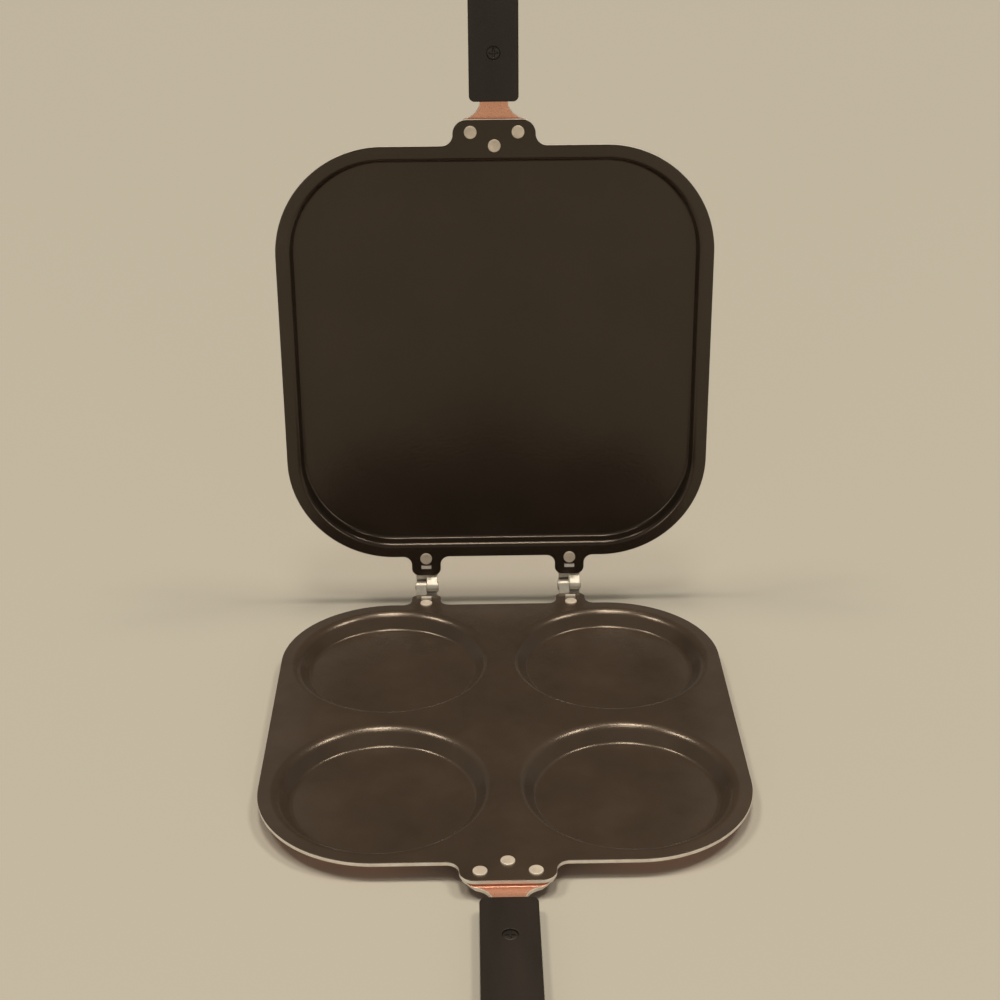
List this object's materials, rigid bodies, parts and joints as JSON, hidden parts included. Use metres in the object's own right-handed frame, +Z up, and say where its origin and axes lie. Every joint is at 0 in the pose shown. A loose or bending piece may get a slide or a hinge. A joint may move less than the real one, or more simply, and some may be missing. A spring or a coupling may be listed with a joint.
{
  "type": "double sided flip pan",
  "caption": "Double sided flip pan standing open: a lower half with round wells, a flat square griddle half on strap hinges, and flat black handles.",
  "frame": {"origin": "on the table plane, under the middle of the bounding box of the pan as it stands open", "axes": "+X to the right along the hinge axis, +Y away from the tip of the lower handle towards the upright half, +Z up"},
  "size_m": [0.24, 0.4762, 0.452],
  "materials": {
    "coated_aluminium": "pressed aluminium with a dark brown satin non stick coating inside and copper coloured lacquer outside",
    "copper_lacquer": "smooth copper coloured lacquer with bare cut edges",
    "handle_plastic": "fine grained black heat resistant plastic",
    "black_screw": "black coated steel",
    "rivet_aluminium": "plain pressed aluminium",
    "plated_steel": "bright plated steel"
  },
  "bodies": {
    "lower_half": {"lower_pan": "coated_aluminium", "lower_handle_bracket": "copper_lacquer", "left_back_well": "coated_aluminium", "right_back_well": "coated_aluminium", "left_front_well": "coated_aluminium", "right_front_well": "coated_aluminium", "lower_handle": "handle_plastic", "lower_handle_screw": "black_screw", "lower_handle_rivets": "rivet_aluminium", "left_lower_hinge_leaf": "plated_steel", "right_lower_hinge_leaf": "plated_steel", "left_hinge_pin": "plated_steel", "right_hinge_pin": "plated_steel", "left_lower_hinge_rivet": "rivet_aluminium", "right_lower_hinge_rivet": "rivet_aluminium"},
    "upper_half": {"upper_pan": "coated_aluminium", "upper_handle_bracket": "copper_lacquer", "upper_handle": "handle_plastic", "upper_handle_screw": "black_screw", "upper_handle_rivets": "rivet_aluminium", "left_upper_hinge_leaf": "plated_steel", "right_upper_hinge_leaf": "plated_steel", "left_upper_hinge_rivet": "rivet_aluminium", "right_upper_hinge_rivet": "rivet_aluminium"}
  },
  "joints": [
    {"name": "pan_hinge", "type": "hinge", "parent": "lower_half", "child": "upper_half", "pos_m": [0, 0.20315, 0.01175], "axis": [1, 0, 0], "range_deg": [0, 93.15]}
  ]
}
